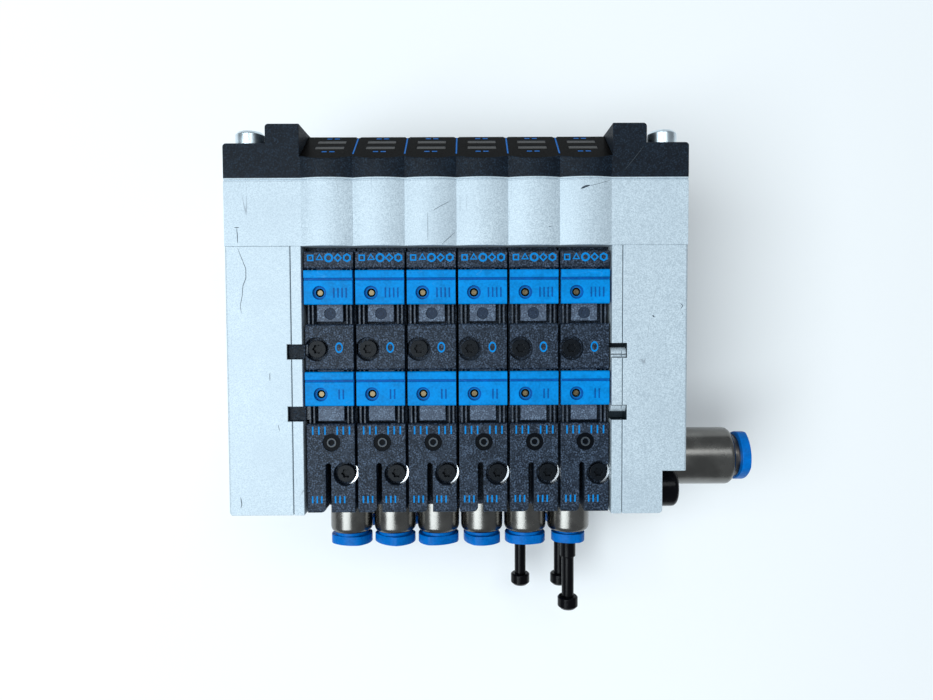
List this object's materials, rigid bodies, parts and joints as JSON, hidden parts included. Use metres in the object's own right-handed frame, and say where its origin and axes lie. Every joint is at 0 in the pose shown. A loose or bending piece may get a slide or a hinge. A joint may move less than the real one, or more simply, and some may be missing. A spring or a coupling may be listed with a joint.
{
  "type": "solenoid directional valve",
  "caption": "Compact pneumatic valve terminal: solenoid valve slices between metal end plates, with an electrical unit, override slides and push-in fittings.",
  "frame": {"origin": "centre of the four mounting holes, in the mounting face", "axes": "+X across the slices towards the supply fitting, +Y from the tube ports to the electrical unit, +Z out of the mounting face towards the override slides"},
  "size_m": [0.1103, 0.1084, 0.053],
  "materials": {
    "anodised_aluminium": "fine blasted silver finish",
    "black_plastic": "eroded moulded black",
    "cover_plastic": "eroded moulded black",
    "seal_rubber": "matt",
    "screw_steel": "bright zinc plate",
    "black_steel": "blackened steel",
    "coil_winding": "wound coil in resin",
    "board_laminate": "solder mask",
    "window_plastic": "smoked light guide",
    "connector_metal": "tinned shell",
    "nickel_plate": "nickel-plated brass",
    "plug_plastic": "black moulded",
    "blue_plastic": "satin moulded blue",
    "pin_brass": "turned",
    "spool_aluminium": "ground",
    "ring_plastic": "moulded blue"
  },
  "bodies": {
    "root": {"left_end_plate": "anodised_aluminium", "right_end_plate": "anodised_aluminium", "side_plates": "anodised_aluminium", "valve_bodies": "black_plastic", "pilot_covers": "black_plastic", "slice_seals": "seal_rubber", "tie_screws": "screw_steel", "cover_screws": "black_steel", "solenoid_coils": "coil_winding", "terminal_housing": "anodised_aluminium", "terminal_cover": "cover_plastic", "terminal_screws": "screw_steel", "circuit_board": "board_laminate", "light_guides": "window_plastic", "multipin_connector": "connector_metal", "fitting_bodies": "nickel_plate", "blanking_plugs": "plug_plastic"},
    "override_slide_14_1": {"override_slide_14_1": "blue_plastic"},
    "override_slide_14_2": {"override_slide_14_2": "blue_plastic"},
    "override_slide_14_3": {"override_slide_14_3": "blue_plastic"},
    "override_slide_14_4": {"override_slide_14_4": "blue_plastic"},
    "override_slide_14_5": {"override_slide_14_5": "blue_plastic"},
    "override_slide_14_6": {"override_slide_14_6": "blue_plastic"},
    "override_slide_12_1": {"override_slide_12_1": "blue_plastic"},
    "override_slide_12_2": {"override_slide_12_2": "blue_plastic"},
    "override_slide_12_3": {"override_slide_12_3": "blue_plastic"},
    "override_slide_12_4": {"override_slide_12_4": "blue_plastic"},
    "override_slide_12_5": {"override_slide_12_5": "blue_plastic"},
    "override_slide_12_6": {"override_slide_12_6": "blue_plastic"},
    "pilot_plunger_14_1": {"pilot_plunger_14_1": "pin_brass"},
    "pilot_plunger_14_2": {"pilot_plunger_14_2": "pin_brass"},
    "pilot_plunger_14_3": {"pilot_plunger_14_3": "pin_brass"},
    "pilot_plunger_14_4": {"pilot_plunger_14_4": "pin_brass"},
    "pilot_plunger_14_5": {"pilot_plunger_14_5": "pin_brass"},
    "pilot_plunger_14_6": {"pilot_plunger_14_6": "pin_brass"},
    "pilot_plunger_12_1": {"pilot_plunger_12_1": "pin_brass"},
    "pilot_plunger_12_2": {"pilot_plunger_12_2": "pin_brass"},
    "pilot_plunger_12_3": {"pilot_plunger_12_3": "pin_brass"},
    "pilot_plunger_12_4": {"pilot_plunger_12_4": "pin_brass"},
    "pilot_plunger_12_5": {"pilot_plunger_12_5": "pin_brass"},
    "pilot_plunger_12_6": {"pilot_plunger_12_6": "pin_brass"},
    "valve_spool_1": {"valve_spool_1": "spool_aluminium"},
    "valve_spool_2": {"valve_spool_2": "spool_aluminium"},
    "valve_spool_3": {"valve_spool_3": "spool_aluminium"},
    "valve_spool_4": {"valve_spool_4": "spool_aluminium"},
    "valve_spool_5": {"valve_spool_5": "spool_aluminium"},
    "valve_spool_6": {"valve_spool_6": "spool_aluminium"},
    "release_ring_front_1": {"release_ring_front_1": "ring_plastic"},
    "release_ring_front_2": {"release_ring_front_2": "ring_plastic"},
    "release_ring_front_3": {"release_ring_front_3": "ring_plastic"},
    "release_ring_front_4": {"release_ring_front_4": "ring_plastic"},
    "release_ring_front_5": {"release_ring_front_5": "ring_plastic"},
    "release_ring_front_6": {"release_ring_front_6": "ring_plastic"},
    "release_ring_rear_1": {"release_ring_rear_1": "ring_plastic"},
    "release_ring_rear_2": {"release_ring_rear_2": "ring_plastic"},
    "release_ring_rear_3": {"release_ring_rear_3": "ring_plastic"},
    "release_ring_rear_4": {"release_ring_rear_4": "ring_plastic"},
    "release_ring_rear_5": {"release_ring_rear_5": "ring_plastic"},
    "release_ring_rear_6": {"release_ring_rear_6": "ring_plastic"},
    "release_ring_supply": {"release_ring_supply": "ring_plastic"}
  },
  "joints": [
    {"name": "slide_14_1", "type": "slide", "parent": "root", "child": "override_slide_14_1", "axis": [0, -1, 0], "range_m": [0, 0.003]},
    {"name": "press_14_1", "type": "slide", "parent": "root", "child": "pilot_plunger_14_1", "axis": [0, 0, -1], "range_m": [0, 0.001], "stiffness_N_per_m": 300, "springref_m": -0.001},
    {"name": "slide_14_2", "type": "slide", "parent": "root", "child": "override_slide_14_2", "axis": [0, -1, 0], "range_m": [0, 0.003]},
    {"name": "press_14_2", "type": "slide", "parent": "root", "child": "pilot_plunger_14_2", "axis": [0, 0, -1], "range_m": [0, 0.001], "stiffness_N_per_m": 300, "springref_m": -0.001},
    {"name": "slide_14_3", "type": "slide", "parent": "root", "child": "override_slide_14_3", "axis": [0, -1, 0], "range_m": [0, 0.003]},
    {"name": "press_14_3", "type": "slide", "parent": "root", "child": "pilot_plunger_14_3", "axis": [0, 0, -1], "range_m": [0, 0.001], "stiffness_N_per_m": 300, "springref_m": -0.001},
    {"name": "slide_14_4", "type": "slide", "parent": "root", "child": "override_slide_14_4", "axis": [0, -1, 0], "range_m": [0, 0.003]},
    {"name": "press_14_4", "type": "slide", "parent": "root", "child": "pilot_plunger_14_4", "axis": [0, 0, -1], "range_m": [0, 0.001], "stiffness_N_per_m": 300, "springref_m": -0.001},
    {"name": "slide_14_5", "type": "slide", "parent": "root", "child": "override_slide_14_5", "axis": [0, -1, 0], "range_m": [0, 0.003]},
    {"name": "press_14_5", "type": "slide", "parent": "root", "child": "pilot_plunger_14_5", "axis": [0, 0, -1], "range_m": [0, 0.001], "stiffness_N_per_m": 300, "springref_m": -0.001},
    {"name": "slide_14_6", "type": "slide", "parent": "root", "child": "override_slide_14_6", "axis": [0, -1, 0], "range_m": [0, 0.003]},
    {"name": "press_14_6", "type": "slide", "parent": "root", "child": "pilot_plunger_14_6", "axis": [0, 0, -1], "range_m": [0, 0.001], "stiffness_N_per_m": 300, "springref_m": -0.001},
    {"name": "slide_12_1", "type": "slide", "parent": "root", "child": "override_slide_12_1", "axis": [0, -1, 0], "range_m": [0, 0.003]},
    {"name": "press_12_1", "type": "slide", "parent": "root", "child": "pilot_plunger_12_1", "axis": [0, 0, -1], "range_m": [0, 0.001], "stiffness_N_per_m": 300, "springref_m": -0.001},
    {"name": "slide_12_2", "type": "slide", "parent": "root", "child": "override_slide_12_2", "axis": [0, -1, 0], "range_m": [0, 0.003]},
    {"name": "press_12_2", "type": "slide", "parent": "root", "child": "pilot_plunger_12_2", "axis": [0, 0, -1], "range_m": [0, 0.001], "stiffness_N_per_m": 300, "springref_m": -0.001},
    {"name": "slide_12_3", "type": "slide", "parent": "root", "child": "override_slide_12_3", "axis": [0, -1, 0], "range_m": [0, 0.003]},
    {"name": "press_12_3", "type": "slide", "parent": "root", "child": "pilot_plunger_12_3", "axis": [0, 0, -1], "range_m": [0, 0.001], "stiffness_N_per_m": 300, "springref_m": -0.001},
    {"name": "slide_12_4", "type": "slide", "parent": "root", "child": "override_slide_12_4", "axis": [0, -1, 0], "range_m": [0, 0.003]},
    {"name": "press_12_4", "type": "slide", "parent": "root", "child": "pilot_plunger_12_4", "axis": [0, 0, -1], "range_m": [0, 0.001], "stiffness_N_per_m": 300, "springref_m": -0.001},
    {"name": "slide_12_5", "type": "slide", "parent": "root", "child": "override_slide_12_5", "axis": [0, -1, 0], "range_m": [0, 0.003]},
    {"name": "press_12_5", "type": "slide", "parent": "root", "child": "pilot_plunger_12_5", "axis": [0, 0, -1], "range_m": [0, 0.001], "stiffness_N_per_m": 300, "springref_m": -0.001},
    {"name": "slide_12_6", "type": "slide", "parent": "root", "child": "override_slide_12_6", "axis": [0, -1, 0], "range_m": [0, 0.003]},
    {"name": "press_12_6", "type": "slide", "parent": "root", "child": "pilot_plunger_12_6", "axis": [0, 0, -1], "range_m": [0, 0.001], "stiffness_N_per_m": 300, "springref_m": -0.001},
    {"name": "spool_1", "type": "slide", "parent": "root", "child": "valve_spool_1", "axis": [0, 0, 1], "range_m": [0, 0.0025]},
    {"name": "spool_2", "type": "slide", "parent": "root", "child": "valve_spool_2", "axis": [0, 0, 1], "range_m": [0, 0.0025]},
    {"name": "spool_3", "type": "slide", "parent": "root", "child": "valve_spool_3", "axis": [0, 0, 1], "range_m": [0, 0.0025]},
    {"name": "spool_4", "type": "slide", "parent": "root", "child": "valve_spool_4", "axis": [0, 0, 1], "range_m": [0, 0.0025]},
    {"name": "spool_5", "type": "slide", "parent": "root", "child": "valve_spool_5", "axis": [0, 0, 1], "range_m": [0, 0.0025]},
    {"name": "spool_6", "type": "slide", "parent": "root", "child": "valve_spool_6", "axis": [0, 0, 1], "range_m": [0, 0.0025]},
    {"name": "release_front_1", "type": "slide", "parent": "root", "child": "release_ring_front_1", "axis": [0, 1, 0], "range_m": [0, 0.0006], "stiffness_N_per_m": 300, "springref_m": -0.001},
    {"name": "release_front_2", "type": "slide", "parent": "root", "child": "release_ring_front_2", "axis": [0, 1, 0], "range_m": [0, 0.0006], "stiffness_N_per_m": 300, "springref_m": -0.001},
    {"name": "release_front_3", "type": "slide", "parent": "root", "child": "release_ring_front_3", "axis": [0, 1, 0], "range_m": [0, 0.0006], "stiffness_N_per_m": 300, "springref_m": -0.001},
    {"name": "release_front_4", "type": "slide", "parent": "root", "child": "release_ring_front_4", "axis": [0, 1, 0], "range_m": [0, 0.0006], "stiffness_N_per_m": 300, "springref_m": -0.001},
    {"name": "release_front_5", "type": "slide", "parent": "root", "child": "release_ring_front_5", "axis": [0, 1, 0], "range_m": [0, 0.0006], "stiffness_N_per_m": 300, "springref_m": -0.001},
    {"name": "release_front_6", "type": "slide", "parent": "root", "child": "release_ring_front_6", "axis": [0, 1, 0], "range_m": [0, 0.0006], "stiffness_N_per_m": 300, "springref_m": -0.001},
    {"name": "release_rear_1", "type": "slide", "parent": "root", "child": "release_ring_rear_1", "axis": [0, 1, 0], "range_m": [0, 0.0006], "stiffness_N_per_m": 300, "springref_m": -0.001},
    {"name": "release_rear_2", "type": "slide", "parent": "root", "child": "release_ring_rear_2", "axis": [0, 1, 0], "range_m": [0, 0.0006], "stiffness_N_per_m": 300, "springref_m": -0.001},
    {"name": "release_rear_3", "type": "slide", "parent": "root", "child": "release_ring_rear_3", "axis": [0, 1, 0], "range_m": [0, 0.0006], "stiffness_N_per_m": 300, "springref_m": -0.001},
    {"name": "release_rear_4", "type": "slide", "parent": "root", "child": "release_ring_rear_4", "axis": [0, 1, 0], "range_m": [0, 0.0006], "stiffness_N_per_m": 300, "springref_m": -0.001},
    {"name": "release_rear_5", "type": "slide", "parent": "root", "child": "release_ring_rear_5", "axis": [0, 1, 0], "range_m": [0, 0.0006], "stiffness_N_per_m": 300, "springref_m": -0.001},
    {"name": "release_rear_6", "type": "slide", "parent": "root", "child": "release_ring_rear_6", "axis": [0, 1, 0], "range_m": [0, 0.0006], "stiffness_N_per_m": 300, "springref_m": -0.001},
    {"name": "release_supply", "type": "slide", "parent": "root", "child": "release_ring_supply", "axis": [-1, 0, 0], "range_m": [0, 0.0007], "stiffness_N_per_m": 300, "springref_m": -0.001}
  ]
}
